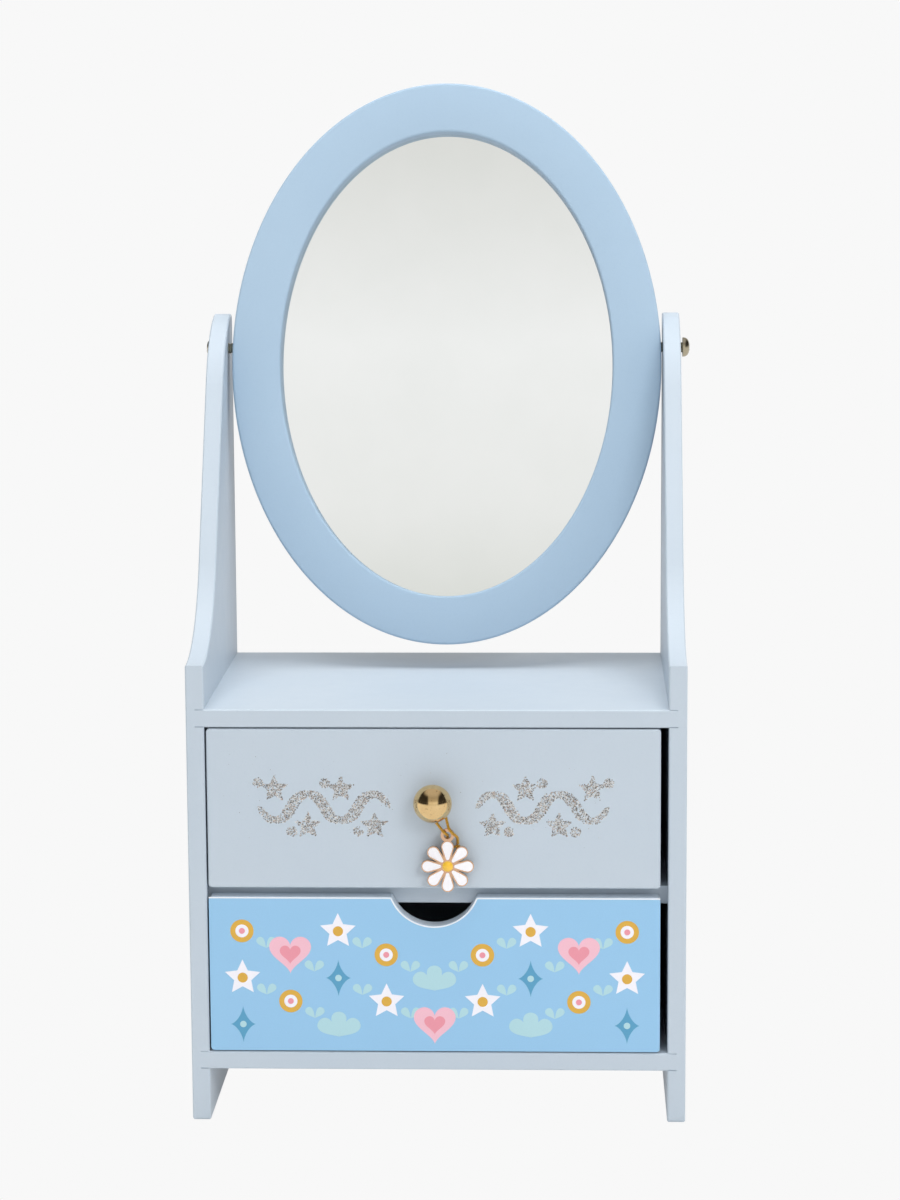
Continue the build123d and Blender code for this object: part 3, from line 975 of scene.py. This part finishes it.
def add_camera():
    """Stands the camera where the photograph was taken from."""
    data = bpy.data.cameras.new("camera")
    data.sensor_fit = "HORIZONTAL"
    data.sensor_width = 36
    data.lens = focal_length_px * data.sensor_width / photo_width
    data.clip_end = 20
    ahead = Vector((-sin(camera_yaw), cos(camera_yaw), 0))
    level_right = Vector((cos(camera_yaw), sin(camera_yaw), 0))
    view = cos(camera_pitch) * ahead - sin(camera_pitch) * UP
    level_up = sin(camera_pitch) * ahead + cos(camera_pitch) * UP
    right = cos(camera_roll) * level_right + sin(camera_roll) * level_up
    upward = -sin(camera_roll) * level_right + cos(camera_roll) * level_up
    turn = Matrix((right, upward, -view)).transposed().to_4x4()
    camera = bpy.data.objects.new("camera", data)
    bpy.context.scene.collection.objects.link(camera)
    camera.matrix_world = Matrix.Translation(camera_place) @ turn
    bpy.context.scene.camera = camera


def add_area_light(name, place, size, watts):
    """Hangs a square soft light at a place, turned to the cabinet's middle."""
    data = bpy.data.lights.new(name, "AREA")
    data.size = size
    data.energy = watts
    light = bpy.data.objects.new(name, data)
    bpy.context.scene.collection.objects.link(light)
    light.location = place
    light.rotation_euler = (lights_aim - Vector(place)).to_track_quat("-Z", "Y").to_euler()
    light.visible_glossy = False


def add_world():
    """Makes a plain white studio, whose bright and dark parts only metal and glass see."""
    world = bpy.data.worlds.new("studio")
    bpy.context.scene.world = world
    world.use_nodes = True
    tree = world.node_tree
    background = tree.nodes["Background"]
    rays = tree.nodes.new("ShaderNodeLightPath")
    direction = tree.nodes.new("ShaderNodeTexCoord").outputs["Generated"]
    parts = tree.nodes.new("ShaderNodeSeparateXYZ")
    tree.links.new(direction, parts.inputs["Vector"])
    grey = [
        (0.0, srgb(236, 236, 234)),
        (0.156, srgb(232, 233, 229)),
        (0.185, srgb(247, 247, 246)),
        (0.235, srgb(253, 253, 253)),
        (0.302, srgb(230, 230, 227)),
        (0.45, srgb(196, 194, 188)),
        (0.7, srgb(176, 174, 172)),
        (0.92, srgb(206, 206, 210)),
    ]
    seen_in_gloss = ramp(tree, parts.outputs["Z"], grey)
    above = span(tree, parts.outputs["Z"], 0.0, 1.0, 0.02, 0.06)
    below = span(tree, parts.outputs["Z"], 1.0, 0.0, 0.72, 0.88)
    left = span(tree, parts.outputs["X"], 0.95, 0.0, -0.44, -0.34)
    right = span(tree, parts.outputs["X"], 0.0, 0.95, 0.50, 0.62)
    sides = tree.nodes.new("ShaderNodeMath")
    tree.links.new(left, sides.inputs[0])
    tree.links.new(right, sides.inputs[1])
    dark_sides = product(tree, product(tree, above, below), sides.outputs["Value"])
    room = mixed(tree, dark_sides, seen_in_gloss, srgb(20, 18, 16))
    lit = mixed(tree, rays.outputs["Is Glossy Ray"], studio_light, room)
    final = mixed(tree, rays.outputs["Is Camera Ray"], lit, backdrop)
    tree.links.new(final, background.inputs["Color"])


def add_floor():
    """Lays a pale floor, which the camera, metal and glass see as the even backdrop."""
    mesh = bpy.data.meshes.new("floor")
    half = 3.0
    corners = [(-half, -half, 0), (half, -half, 0), (half, half, 0), (-half, half, 0)]
    mesh.from_pydata(corners, [], [(0, 1, 2, 3)])
    floor = bpy.data.objects.new("floor", mesh)
    bpy.context.scene.collection.objects.link(floor)
    material, tree, shader, _ = new_material("floor", srgb(240, 240, 240), 0.9)
    glow = tree.nodes.new("ShaderNodeEmission")
    glow.inputs["Color"].default_value = backdrop
    rays = tree.nodes.new("ShaderNodeLightPath")
    seen = tree.nodes.new("ShaderNodeMath")
    seen.operation = "MAXIMUM"
    tree.links.new(rays.outputs["Is Camera Ray"], seen.inputs[0])
    tree.links.new(rays.outputs["Is Glossy Ray"], seen.inputs[1])
    blend = tree.nodes.new("ShaderNodeMixShader")
    tree.links.new(seen.outputs["Value"], blend.inputs["Fac"])
    tree.links.new(shader.outputs["BSDF"], blend.inputs[1])
    tree.links.new(glow.outputs["Emission"], blend.inputs[2])
    tree.links.new(blend.outputs["Shader"], tree.nodes["Material Output"].inputs["Surface"])
    mesh.materials.append(material)


add_camera()
thread, thread_line = add_thread()
knot = add_knot()
add_mirror_frame()
add_pivot_screw("pivot_screw_left", -1)
add_pivot_screw("pivot_screw_right", 1)
add_print()
add_edge_highlight_strip()
add_glitter()
add_world()
add_floor()
add_area_light("key", (0.8, -1.4, 1.05), size=0.6, watts=7.2)
add_area_light("fill", (-1.0, -1.3, 0.6), size=1.2, watts=1.5)
add_area_light("side", (1.5, -0.8, 0.7), size=1.0, watts=3)
add_area_light("top", (0.0, -0.15, 1.6), size=1.0, watts=17)

bpy.context.scene.view_settings.view_transform = "Standard"
